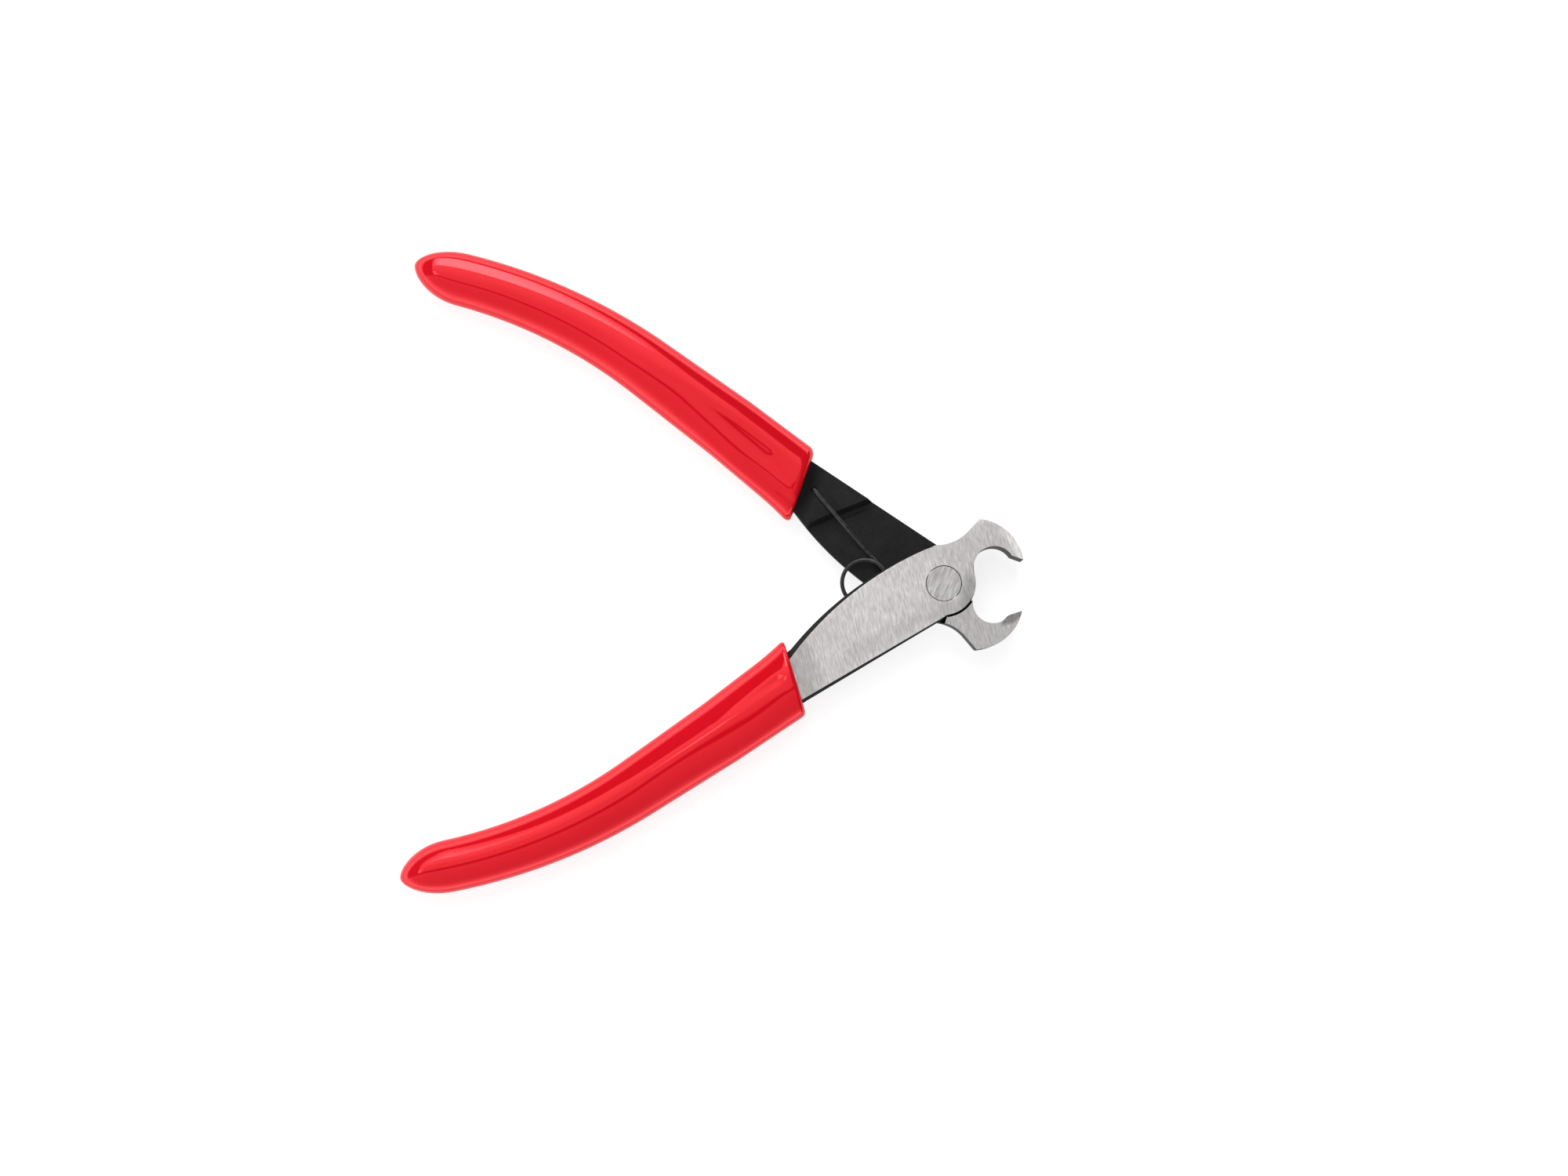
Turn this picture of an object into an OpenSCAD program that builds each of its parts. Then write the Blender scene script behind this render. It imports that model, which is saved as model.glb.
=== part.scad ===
// End cutting nippers: two alike forged halves on one rivet, a wire spring that opens them
// and a dipped vinyl grip on each handle. They lie flat with the jaws towards +X and the
// front half up. The origin is on the pivot axis, in the ground face of the rear half.

/* [Head] */
// Thickness of the head between its two ground faces
head_t = 10; // [8:0.5:13]
// Diameter of the pivot rivet
rivet_d = 8.6; // [6.5:0.1:10]
// Radius of the round boss on each half that turns in the other half's pocket
boss_r = 7.65; // [7.3:0.05:7.9]
// Gap between the boss and the pocket round it
boss_gap = 0.35; // [0.25:0.05:0.6]
// Width of the head over the outer corners of both jaws, as opened
head_w = 31.3; // [29:0.1:34]
// Distance along X from the pivot to the jaws' outer corners
jaw_back = 8.2; // [7.4:0.1:9]
// Height of the jaw's curved back over the straight line from its corner to its edge
jaw_rise = 2.4; // [1.5:0.1:3]

/* [Cutting edges] */
// Distance along X from the pivot to the cutting edges, as opened
edge_reach = 18.9; // [18:0.1:22]
// Gap between the cutting edges, as opened
edge_gap = 12.2; // [10:0.1:13]
// Radius of the round hollow in each jaw
mouth_r = 5; // [4.4:0.1:5.2]
// Distance along X from the pivot to the centres of the hollows
mouth_x = 12; // [11.8:0.1:13]
// Distance of each hollow's centre from the middle line
mouth_y = 4.2; // [3.8:0.1:4.8]
// Direction in which the ground bevel leaves the hollow, seen from its centre
bevel_angle = 38; // [34:1:44]

/* [Handles] */
// Angle of each handle from the middle line, as opened
handle_angle = 35; // [31:0.5:37]
// Distance along the handle from the pivot to where it starts to bend
bend_start = 88; // [76:1:96]
// Radius of the bend
bend_r = 130; // [110:1:200]
// Distance along the handle from the pivot to the end of the grip
handle_len = 150; // [140:1:165]
// Half the width of the steel where it has left the grip's mouth behind
bar_half_w = 5.6; // [4.5:0.1:5.9]
// Half the width of the steel at its far end
bar_end_half_w = 4.4; // [3:0.1:4.6]
// Thickness of the steel inside the grip
bar_t = 6; // [4.5:0.1:6.4]
// Depth by which the inner face of each half is cut back beyond its boss
relief = 1.7; // [1.5:0.05:2]
// Height by which the handle stands past the lap plane, beyond the step
raise = 0.8; // [0.4:0.1:1.2]

/* [Grips] */
// Distance along the handle from the pivot to the middle of the grip's mouth
grip_start = 41.6; // [41:0.2:46]
// Distance by which the front grip starts further out than the rear one
grip_shift = 0.8; // [0:0.1:1.5]
// Half the width of the grip at its mouth
grip_half_w = 8.8; // [8.2:0.1:9.6]
// Half the width of the grip near its end
grip_end_half_w = 6.3; // [6:0.1:7.4]
// Half the thickness of the grip at its mouth
grip_half_t = 4.7; // [4.5:0.1:5.6]
// Half the thickness of the grip near its end
grip_end_half_t = 4.3; // [4:0.1:5.2]
// Length of the grip's round end
grip_cap = 12; // [10:0.5:14]
// Rounding of the lip at the mouth
lip_r = 0.9; // [0.5:0.1:1.2]

/* [Spring] */
// Diameter of the spring wire
wire_d = 1.0; // [0.8:0.05:1.1]
// Distance from the pivot to the middle of the spring's coil
coil_reach = 18.8; // [17.5:0.1:20]
// Radius of the coil, measured to the middle of the wire
coil_r = 5.5; // [4.5:0.1:6]
// Rise of the coil from one turn to the next
coil_pitch = 1.46; // [1.42:0.01:1.5]
// Full turns of the coil, beyond the part turn between the two legs
coil_turns = 1; // [1:1:1]
// Distance along X from the pivot to the holes that hold the spring's ends
hole_x = 31.6; // [30:0.1:33]
// Distance of the holes from the middle line
hole_y = 22.1; // [21.5:0.1:22.8]

/* [Hidden] */
$fn = 96;

// Height of the plane in which the two halves meet
lap_z = head_t / 2;
// Clearance between the bosses' faces, shared by both halves
lap_gap = 0.1;
// Radial clearance of the rivet in the rear half, which turns on it
running_gap = 0.05;
// Overrun of every cut past the surface that it opens
over = 1;
// Size of a cutting block, past all edges of the tool
far = 2 * handle_len;
// Steps along each curved stretch of an outline
arc_steps = 16;

// Places on the front half, as seen from the front with the pivot at zero
edge_tip = [edge_reach, edge_gap / 2];
jaw_corner = [jaw_back, head_w / 2];
mouth_centre = [mouth_x, mouth_y];
// The bevel's line runs on a little into the hollow
bevel_in = 0.2;
bevel_foot = mouth_centre + (mouth_r - bevel_in) * [cos(bevel_angle), sin(bevel_angle)];
// Where the jaw's straight outer side ends and its hollow curve to the handle starts
flank_in = 3;
flank_down = 3.35;
jaw_flank = jaw_corner - [flank_in, flank_down];
// Where the handle's inner edge meets the jaw's hollow curve
saddle_x = 2;
saddle_y = 9.15;
jaw_saddle = [-saddle_x, saddle_y];
flank_rise = 0.8;
// The steel's two edges where they go into the grip, along and across the handle
root_inner_s = 39.2;
root_inner_t = 7.2;
root_outer_s = 43;
root_outer_t = 5.15;
inner_rise = 2.9;
// Distance along the handle at which the steel has its even width
even_s = 60;
// Slope of the handle's straight outer edge where it runs on to the stop
outer_edge_x = 1.2;
outer_edge_y = 7.85;
// The shoulder that meets the other half's stop when the tool is opened
shoulder_x = 1.0;
shoulder_lean = 16;
stop_gap = 0.35;

// The step across the inner face, measured from the pivot square to the step
step_dist = 25.9;
step_angle = 66.7;
ramp_w = 1.1;
// Run of the ramp's line past the raised handle's face
ramp_over = over * ramp_w / (relief + raise);
// Stretch over which the steel slants to the middle of the tool, inside the grip
slant_start = 44;
slant_end = 75;
// Run of the slant's line past the ground face
slant_over = over * (slant_end - slant_start) / (lap_z - bar_t / 2);

// Width of the dark slanted edge beside the ground face, at the inner and outer side
inner_bevel_w = 1.2;
outer_bevel_w = 0.75;
outer_bevel_taper = 0.6;
// Way by which the inner slant's cone is moved so that it runs out towards the jaw
bevel_drift = 2.4;
// Length of both slants past the grip's mouth
bevel_run = 6;

// The spring's holes: their depth in the steel, and their play round the wire
hole_depth = 3;
hole_play = 0.4;
// Depth of the wire's ends in the holes
end_depth = 2.4;
// Radius of the wire's bend into its hole
wire_bend = 1;
// Clearance between the wire's legs and the raised handles
leg_clear = 0.2;
// Distances from the coil at which a leg leaves the level and reaches its height
leg_flat = 4;
leg_up = 16;
// Depth of each leg's bow towards the handles' ends
leg_bow = 0.15;
// Counts of rings and sides of the wire
leg_steps = 9;
coil_steps = 24;
wire_sides = 6;

// Lean of the grip's mouth, and the length over which it fades
mouth_skew = 16.6;
skew_run = 22;
// Shift of the mouth towards the inner side
mouth_shift = 0.8;
// Shift of the end's tip towards the outer side
nose_shift = 1.2;
// How squarish the grip's section is, with 2 for an ellipse
grip_power = 2.6;
// How quickly the grip narrows behind its mouth
width_power = 1.6;
// How pointed the grip's end is, with 1 for a round end
nose_power = 1.2;
// Counts of rings and sides of the grip
grip_steps = 20;
grip_sides = 24;

// The closed angle brings the cutting edges nearly together
closed_gap = 0.12;
closed_angle = 2 * atan2(edge_tip.y, edge_tip.x) - closed_gap / norm(edge_tip) * 180 / PI;
echo(closed_angle = closed_angle);

// A point along the handle of the front half: s from the pivot, t towards the inner side
function handle_turn(s) = max(0, s - bend_start) / bend_r * 180 / PI;
function handle_point(s, t) =
    let (a = handle_angle - handle_turn(s), straight = min(s, bend_start))
    -straight * [cos(handle_angle), sin(handle_angle)]
    - bend_r * [sin(handle_angle) - sin(a), cos(a) - cos(handle_angle)]
    + t * [-sin(a), cos(a)];

// An arc from a to b whose middle stands by rise to the left of the way from a to b
function bow(a, b, rise) =
    let (
        along = (b - a) / norm(b - a),
        left = [-along.y, along.x],
        half = norm(b - a) / 2,
        r = (half * half + rise * rise) / (2 * rise),
        centre = (a + b) / 2 + (rise - r) * left,
        turn = asin(half / r)
    )
    [for (i = [0:arc_steps])
        let (f = turn * (2 * i / arc_steps - 1))
        centre + r * (sin(f) * along + cos(f) * left)];

// Centre and radius of the circle that holds the arc from a to b
function bow_radius(a, b, rise) = (pow(norm(b - a) / 2, 2) + rise * rise) / (2 * rise);
function bow_centre(a, b, rise) =
    let (along = (b - a) / norm(b - a))
    (a + b) / 2 + (rise - bow_radius(a, b, rise)) * [-along.y, along.x];

root_inner = handle_point(root_inner_s, root_inner_t);
root_outer = handle_point(root_outer_s, -root_outer_t);
stop_end = [outer_edge_x, -outer_edge_y];

// The steel stops short of the grip's end by a share of the cap, with a rounded end
bar_stop_share = 0.5;
bar_round_share = 0.9;
bar_steps = 8;
bar_end = handle_len - bar_stop_share * grip_cap;
bar_round_start = bar_end - bar_end_half_w;
function bar_w(s) = bar_half_w + (bar_end_half_w - bar_half_w) * (s - even_s) / (bar_end - even_s);
bar_line = [for (i = [0:bar_steps]) even_s + (bar_round_start - even_s) * i / bar_steps];
bar_round = [for (a = [80:-20:-80])
    let (w = bar_w(bar_round_start))
    handle_point(bar_round_start + bar_round_share * w * cos(a), w * sin(a))];

// Outline of the jaw, from its cutting edge round its back to the pivot and the mouth
jaw_outline = concat(
    bow(edge_tip, jaw_corner, -jaw_rise),
    bow(jaw_flank, jaw_saddle, flank_rise),
    [[0, 0], mouth_centre, bevel_foot]
);

// Outline of the neck and the handle, from the jaw out along the inner edge and back,
// closed inside the jaw so that the two overlap
handle_outline = concat(
    bow(jaw_saddle, root_inner, -inner_rise),
    [for (s = bar_line) handle_point(s, bar_w(s))],
    bar_round,
    [for (i = [bar_steps:-1:0]) handle_point(bar_line[i], -bar_w(bar_line[i]))],
    [root_outer, stop_end, [saddle_x, 0]]
);

// The plan to the right of the shoulder, moved to the left by the given gap
module beyond_shoulder(gap) {
    translate([shoulder_x - gap, boss_r])
        rotate(shoulder_lean)
            translate([0, -boss_r])
                square(far);
}

module jaw_plan() {
    difference() {
        polygon(jaw_outline);
        translate(mouth_centre) circle(mouth_r);
    }
}

// The slant along the inner edge is a cone, moved so that it fades out towards the jaw
module inner_bevel() {
    r = abs(bow_radius(jaw_saddle, root_inner, -inner_rise));
    centre = bow_centre(jaw_saddle, root_inner, -inner_rise);
    spoke = root_inner - centre;
    first = atan2(jaw_saddle.y - centre.y, jaw_saddle.x - centre.x);
    last = atan2(spoke.y, spoke.x) + bevel_run / r * 180 / PI;
    drift = bevel_drift * [spoke.y, -spoke.x] / norm(spoke);
    translate(centre + drift)
        rotate(first)
            rotate_extrude(angle = last - first, $fn = 4 * $fn)
                bevel_section(r, inner_bevel_w);
}

// The slant along the straight outer edge, a little deeper towards the grip
module outer_bevel() {
    way = stop_end - root_outer;
    translate(root_outer)
        rotate([90, 0, atan2(way.y, way.x) - 90 - outer_bevel_taper])
            translate([0, 0, -norm(way) - over])
                linear_extrude(norm(way) + over + bevel_run)
                    bevel_section(0, outer_bevel_w);
}

// What a slant of width w takes off an edge at distance r, under the ground face
module bevel_section(r, w) {
    polygon([
        [r - w - over, head_t + over],
        [r + over, head_t - w - over],
        [r + over, head_t + over]
    ]);
}

// A slab that has the given outline when seen across the plan direction at the angle
module slab_across(angle, outline) {
    rotate([90, 0, 180 + angle])
        linear_extrude(2 * far, center = true)
            polygon(outline);
}

// Underside of the neck: cut back near the pivot, then a ramp down to the raised handle
module step_slab() {
    slab_across(step_angle, [
        [-far, lap_z + relief],
        [step_dist - ramp_w, lap_z + relief],
        [step_dist + ramp_over, lap_z - raise - over],
        [step_dist + ramp_over, -far],
        [far, -far],
        [far, far],
        [-far, far]
    ]);
}

// Side view of the handle, which slants to the middle of the tool inside the grip
module side_slab() {
    slab_across(handle_angle, [
        [-far, lap_z - raise],
        [slant_start, lap_z - raise],
        [slant_end, lap_z - bar_t / 2],
        [far, lap_z - bar_t / 2],
        [far, lap_z + bar_t / 2],
        [slant_end, lap_z + bar_t / 2],
        [slant_start - slant_over, head_t + over],
        [-far, head_t + over]
    ]);
}

module neck_plan() {
    difference() {
        polygon(handle_outline);
        mirror([0, 1]) beyond_shoulder(stop_gap);
    }
}

// Neck and handle of the front half, without the spring's hole
module handle_bar() {
    difference() {
        intersection() {
            linear_extrude(head_t) neck_plan();
            step_slab();
            side_slab();
        }
        inner_bevel();
        outer_bevel();
    }
}

// The jaw is full depth to the right of the shoulder, and above the lap plane elsewhere
module jaw() {
    linear_extrude(lap_z)
        intersection() {
            jaw_plan();
            beyond_shoulder(0);
        }
    translate([0, 0, lap_z])
        linear_extrude(lap_z)
            jaw_plan();
}

// One forging, with a rivet hole of the given radius
module half(bore_r) {
    difference() {
        union() {
            jaw();
            handle_bar();
            translate([0, 0, lap_z])
                cylinder(h = lap_z, r = boss_r);
        }
        translate([0, 0, -over])
            cylinder(h = over + lap_z + lap_gap / 2, r = boss_r + boss_gap);
        translate([0, 0, -over])
            cylinder(h = head_t + 2 * over, r = bore_r);
        translate([-hole_x, -hole_y, lap_z - raise - over])
            cylinder(h = over + hole_depth, d = wire_d + hole_play, $fn = $fn / 2);
    }
}

// Turns a piece of the front half over into its place on the rear half
module turned_over() {
    translate([0, 0, head_t])
        rotate([180, 0, 0])
            children();
}

module front_half() {
    color("silver") half(rivet_d / 2);
}

module rear_half() {
    color("dimgray") turned_over() half(rivet_d / 2 + running_gap);
}

module pivot_rivet() {
    color("lightgray") cylinder(h = head_t, d = rivet_d);
}

// Height of the grip's middle, which follows the steel inside it
function grip_mid_z(s) =
    let (mouth_z = (lap_z - raise + head_t) / 2)
    let (share = min(1, max(0, (s - slant_start) / (slant_end - slant_start))))
    mouth_z + (lap_z - mouth_z) * share;

// Half the grip's width and thickness at a distance along the handle
function grip_taper(s, start, wide, narrow, power) =
    narrow + (wide - narrow) * pow(1 - (s - start) / (handle_len - start), power);
function grip_w(s, start) = grip_taper(s, start, grip_half_w, grip_end_half_w, width_power);
function grip_t(s, start) = grip_taper(s, start, grip_half_t, grip_end_half_t, 1);

// One ring of the grip: w and t are its half sizes, shift moves it across the handle
function squared(c) = sign(c) * pow(abs(c), 2 / grip_power);
function grip_ring(s, start, w, t, shift = 0) =
    let (fade = max(0, 1 - (s - start) / skew_run))
    [for (i = [0:grip_sides - 1])
        let (
            across = w * squared(cos(360 * i / grip_sides)) + mouth_shift * fade + shift,
            along = s - across * tan(mouth_skew * fade),
            place = handle_point(along, across)
        )
        [place.x, place.y, grip_mid_z(along) + t * squared(sin(360 * i / grip_sides))]];

function grip_rings(start) =
    let (body_end = handle_len - grip_cap, body_start = start + lip_r)
    concat(
        [for (a = [0:30:60])
            let (s = start + lip_r * (1 - cos(a)), inset = lip_r * (1 - sin(a)))
            grip_ring(s, start, grip_w(s, start) - inset, grip_t(s, start) - inset)],
        [for (i = [0:grip_steps])
            let (s = body_start + (body_end - body_start) * i / grip_steps)
            grip_ring(s, start, grip_w(s, start), grip_t(s, start))],
        [for (a = [18:13.4:85])
            let (s = body_end + grip_cap * sin(a), size = pow(cos(a), nose_power))
            grip_ring(s, start, grip_w(s, start) * size, grip_t(s, start) * size,
                -nose_shift * (1 - cos(a)))]
    );

// A closed skin of triangles over a row of rings that all have the same number of points
module skin(rings) {
    count = len(rings);
    sides = len(rings[0]);
    walls = [for (i = [0:count - 2], j = [0:sides - 1])
        let (k = (j + 1) % sides, a = i * sides, b = a + sides)
        each [[a + j, a + k, b + k], [a + j, b + k, b + j]]];
    ends = [for (j = [1:sides - 2], last = (count - 1) * sides)
        each [[0, j + 1, j], [last, last + j, last + j + 1]]];
    polyhedron(points = [for (ring = rings) each ring], faces = concat(walls, ends));
}

// The vinyl is dipped on to the steel, so its hollow is the steel's own shape
module grip(start) {
    color("red")
        difference() {
            skin(grip_rings(start));
            handle_bar();
        }
}

module front_grip() {
    grip(grip_start + grip_shift);
}

module rear_grip() {
    turned_over() grip(grip_start);
}

// The coil's middle, and where the rear leg leaves the coil on its way to its hole
coil_middle = [-coil_reach, 0];
to_hole = [-hole_x, hole_y] - coil_middle;
leave_angle = atan2(to_hole.y, to_hole.x) - acos(coil_r / norm(to_hole));
leg_len = sqrt(pow(norm(to_hole), 2) - pow(coil_r, 2));
wound = 360 * coil_turns + 2 * leave_angle;
coil_low = lap_z - coil_pitch * wound / 720;
leg_high = lap_z + raise + wire_d / 2 + leg_clear;

// Points of the wire are pairs: its middle, and a level direction square to its run
function coil_point(turned) =
    let (a = leave_angle - turned, side = [cos(a), sin(a)])
    [concat(coil_middle + coil_r * side, coil_low + coil_pitch * turned / 360), concat(side, 0)];

// A point of the rear leg at a distance from the coil and a height
function leg_point(along, z) =
    let (
        side = [cos(leave_angle), sin(leave_angle)],
        place = coil_middle + (coil_r - leg_bow * sin(180 * along / leg_len)) * side
            + along * [-side.y, side.x]
    )
    [concat(place, z), concat(side, 0)];

function leg_rise(along) =
    let (share = min(1, max(0, (along - leg_flat) / (leg_up - leg_flat))))
    coil_low + (leg_high - coil_low) * (1 - cos(180 * share)) / 2;

leg_bend_at = leg_len - wire_bend;
rear_leg = concat(
    [leg_point(leg_len, lap_z + raise - end_depth)],
    [for (a = [0:30:60]) leg_point(leg_bend_at + wire_bend * cos(a), leg_high - wire_bend * (1 - sin(a)))],
    [for (i = [leg_steps:-1:0]) leg_point(leg_bend_at * i / leg_steps, leg_rise(leg_bend_at * i / leg_steps))]
);
front_leg = [for (i = [len(rear_leg) - 1:-1:0])
    let (p = rear_leg[i][0], side = rear_leg[i][1])
    [[p.x, -p.y, 2 * lap_z - p.z], [side.x, -side.y, 0]]];
coil_count = round(coil_steps * wound / 360);
coil = [for (i = [1:coil_count - 1]) coil_point(wound * i / coil_count)];
wire = concat(rear_leg, coil, front_leg);

// A ring of the wire's surface round its point number i
function wire_ring(i) =
    let (
        before = wire[max(0, i - 1)][0],
        after = wire[min(len(wire) - 1, i + 1)][0],
        run = (after - before) / norm(after - before),
        up = cross(wire[i][1], run) / norm(cross(wire[i][1], run)),
        side = cross(run, up)
    )
    [for (k = [0:wire_sides - 1])
        wire[i][0] + wire_d / 2 * (cos(360 * k / wire_sides) * side + sin(360 * k / wire_sides) * up)];

// Least gap of the wire to itself, between points that lie further apart along it
spacing = [for (i = [1:len(wire) - 1]) norm(wire[i][0] - wire[i - 1][0])];
function run_to(i) = i == 0 ? 0 : run_to(i - 1) + spacing[i - 1];
reach_along = [for (i = [0:len(wire) - 1]) run_to(i)];
wire_gaps = [for (i = [0:len(wire) - 1], j = [i + 1:len(wire) - 1])
    if (reach_along[j] - reach_along[i] > coil_r) norm(wire[i][0] - wire[j][0]) - wire_d];
echo(least_wire_gap = min(wire_gaps));

module return_spring() {
    color("#303030") skin([for (i = [0:len(wire) - 1]) wire_ring(i)]);
}

front_half();
rear_half();
pivot_rivet();
return_spring();
front_grip();
rear_grip();
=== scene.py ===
"""End cutting nippers with red dipped grips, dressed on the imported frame.

The tool lies on a pale floor with its jaws towards +X and its front half up. Angles are
degrees. Lengths are millimetres until they go into a mesh, a place or a shader, and MM turns
them into metres there.
"""

import math
from dataclasses import dataclass

import bmesh
import bpy
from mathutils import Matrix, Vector


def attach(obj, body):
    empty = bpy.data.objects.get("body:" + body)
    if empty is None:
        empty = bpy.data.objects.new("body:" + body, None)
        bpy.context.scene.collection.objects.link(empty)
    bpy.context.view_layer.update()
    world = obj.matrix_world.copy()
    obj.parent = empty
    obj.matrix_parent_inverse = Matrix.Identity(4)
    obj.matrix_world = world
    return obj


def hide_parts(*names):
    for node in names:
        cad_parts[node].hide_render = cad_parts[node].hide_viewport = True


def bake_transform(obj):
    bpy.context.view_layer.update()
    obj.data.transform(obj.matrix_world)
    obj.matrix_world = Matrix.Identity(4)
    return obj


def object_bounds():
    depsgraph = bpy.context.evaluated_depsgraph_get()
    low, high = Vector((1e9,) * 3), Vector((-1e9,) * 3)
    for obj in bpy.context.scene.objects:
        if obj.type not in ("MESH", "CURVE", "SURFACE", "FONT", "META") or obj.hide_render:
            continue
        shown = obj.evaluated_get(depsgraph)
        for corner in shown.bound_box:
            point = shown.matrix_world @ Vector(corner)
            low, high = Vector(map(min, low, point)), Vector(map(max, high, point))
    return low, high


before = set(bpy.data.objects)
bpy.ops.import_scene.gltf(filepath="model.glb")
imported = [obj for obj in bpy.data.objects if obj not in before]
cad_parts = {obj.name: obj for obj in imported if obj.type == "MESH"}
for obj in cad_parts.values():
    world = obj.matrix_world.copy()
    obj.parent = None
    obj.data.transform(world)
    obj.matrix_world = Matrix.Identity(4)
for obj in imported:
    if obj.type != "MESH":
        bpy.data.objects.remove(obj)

MM = 0.001
cad_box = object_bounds()

# Sizes shared with the solids: the head and its rivet
HEAD_T = 10.0
LAP_Z = HEAD_T / 2
RIVET_R = 4.3
# The handles leave the pivot straight, at an angle to the middle line, and then bend in an arc
HANDLE_ANGLE = 35.0
BEND_START = 88.0
BEND_R = 130.0
HANDLE_LEN = 150.0
# Beyond the step in its inner face a handle is this much thicker than half the head
RAISE = 0.8
# The grips start here along the handle, the front one a little farther out
GRIP_START = 41.6
GRIP_SHIFT = 0.8
# Half their width and thickness at the mouth and at the end. The width goes down fast at first.
GRIP_HALF_W = 8.8
GRIP_END_HALF_W = 6.3
GRIP_HALF_T = 4.7
GRIP_END_HALF_T = 4.3
WIDTH_POWER = 1.6
# Length of the grip's closed end
GRIP_CAP = 12.0
# The mouth is cut askew, and the grip stands a little inwards there
MOUTH_SKEW = 16.6
SKEW_RUN = 22.0
MOUTH_SHIFT = 0.8
# The end is pointed in plan, and the point stands a little outwards
NOSE_SHIFT = 1.2
NOSE_POWER = 1.2
# The spring's wire, its coil, and the blind hole in a handle that holds the wire's end
WIRE_D = 1.0
COIL_REACH = 18.8
COIL_R = 5.5
COIL_PITCH = 1.46
COIL_TURNS = 1
HOLE_X = 31.6
HOLE_Y = 22.1
END_DEPTH = 2.4
# A leg is flat at first, rises to the handle's face, and bends square into the hole
WIRE_BEND = 1.0
LEG_CLEAR = 0.2
LEG_FLAT = 4.0
LEG_UP = 16.0
LEG_BOW = 0.15


def cosd(angle):
    return math.cos(math.radians(angle))


def sind(angle):
    return math.sin(math.radians(angle))


def clamp(x, low=0.0, high=1.0):
    return max(low, min(high, x))


# Camera

PHOTO_W = 2000
MM_PER_PIXEL = 0.1875
CAMERA_HEIGHT = 600.0
CAMERA_FOOT = (-30.0, -33.0)
PHOTO_CENTRE = (-38.2, -2.0)
PHOTO_TURN = 1.35
SENSOR = 36.0
CLIP_START = 10.0


def add_camera():
    """The camera looks straight down, and its shift puts the tool where the photograph has it."""
    data = bpy.data.cameras.new("camera")
    camera = bpy.data.objects.new("camera", data)
    bpy.context.scene.collection.objects.link(camera)
    frame_w = PHOTO_W * MM_PER_PIXEL
    data.sensor_width = SENSOR
    data.lens = SENSOR * CAMERA_HEIGHT / frame_w
    off_x = PHOTO_CENTRE[0] - CAMERA_FOOT[0]
    off_y = PHOTO_CENTRE[1] - CAMERA_FOOT[1]
    data.shift_x = (off_x * cosd(PHOTO_TURN) + off_y * sind(PHOTO_TURN)) / frame_w
    data.shift_y = (off_y * cosd(PHOTO_TURN) - off_x * sind(PHOTO_TURN)) / frame_w
    data.clip_start = CLIP_START * MM
    camera.location = Vector((*CAMERA_FOOT, HEAD_T + CAMERA_HEIGHT)) * MM
    camera.rotation_euler = (0, 0, math.radians(PHOTO_TURN))
    bpy.context.scene.camera = camera


# Shader nodes


def grey(level):
    return (level, level, level, 1.0)


class Nodes:
    """A short way to add shader nodes and join them. Values are sockets or numbers."""

    def __init__(self, tree):
        self.tree = tree
        tree.nodes.clear()

    def add(self, kind, inputs=None, **settings):
        node = self.tree.nodes.new(kind)
        for key, value in settings.items():
            setattr(node, key, value)
        for key, value in (inputs or {}).items():
            if isinstance(value, bpy.types.NodeSocket):
                self.tree.links.new(value, node.inputs[key])
            else:
                node.inputs[key].default_value = value
        return node

    def maths(self, operation, a, b=0.0, c=0.0, clamped=False):
        node = self.add("ShaderNodeMath", {0: a, 1: b, 2: c}, operation=operation)
        node.use_clamp = clamped
        return node.outputs[0]

    def fade(self, value, start, end):
        """0 at start and 1 at end, evenly between them and held beyond them."""
        return self.maths("DIVIDE", self.maths("SUBTRACT", value, start), end - start, clamped=True)

    def between(self, share, low, high):
        """low where the share is 0 and high where it is 1."""
        return self.maths("MULTIPLY_ADD", share, high - low, low)

    def average(self, a, b, share):
        """A share of a and the rest of b."""
        return self.maths("MULTIPLY_ADD", a, share, self.maths("MULTIPLY", b, 1 - share))

    def dot(self, a, b):
        node = self.add("ShaderNodeVectorMath", {0: a, 1: b}, operation="DOT_PRODUCT")
        return node.outputs["Value"]

    def times(self, colour, factor):
        node = self.add("ShaderNodeVectorMath", {0: colour, "Scale": factor}, operation="SCALE")
        return node.outputs[0]

    def ramp(self, value, stops):
        """A colour ramp with (place, colour) stops."""
        node = self.add("ShaderNodeValToRGB", {0: value})
        elements = node.color_ramp.elements
        while len(elements) < len(stops):
            elements.new(0.5)
        for element, (place, colour) in zip(elements, stops):
            element.position = place
            element.color = (*colour[:3], 1.0)
        return node.outputs[0]

    def levels(self, value, stops):
        """A grey ramp with (place, level) stops."""
        return self.ramp(value, [(place, grey(level)) for place, level in stops])

    def mix(self, share, a, b):
        """A mix of two colours."""
        node = self.add("ShaderNodeMix", {0: share, 6: a, 7: b}, data_type="RGBA")
        return node.outputs[2]


# Studio light

# It is a function of direction: of its parts along X, along Y and up, and of its side, which
# runs across the tool from 0 at the near side to 1 at the far side. Stops are (side, brightness).
STUDIO_ACROSS = (-0.27, 0.963)

# Overhead: a dim soft box, a thin gap, then a brighter soft box
STUDIO_BANDS = [
    (0.00, 0.38),
    (0.40, 0.40),
    (0.455, 0.46),
    (0.468, 0.42),
    (0.473, 0.01),
    (0.494, 0.01),
    (0.502, 0.62),
    (0.535, 0.74),
    (0.58, 0.72),
    (0.62, 0.98),
    (0.66, 1.15),
    (0.695, 1.25),
    (0.702, 0.80),
    (0.71, 1.30),
    (1.00, 1.30),
]
# The dim soft box gets brighter by this factor towards the handles
NEAR_GLOW = 1.3
NEAR_GLOW_RUN = (0.1, -0.2)
NEAR_GLOW_SIDE = [(0.47, 1.0), (0.475, 0.0)]
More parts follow.
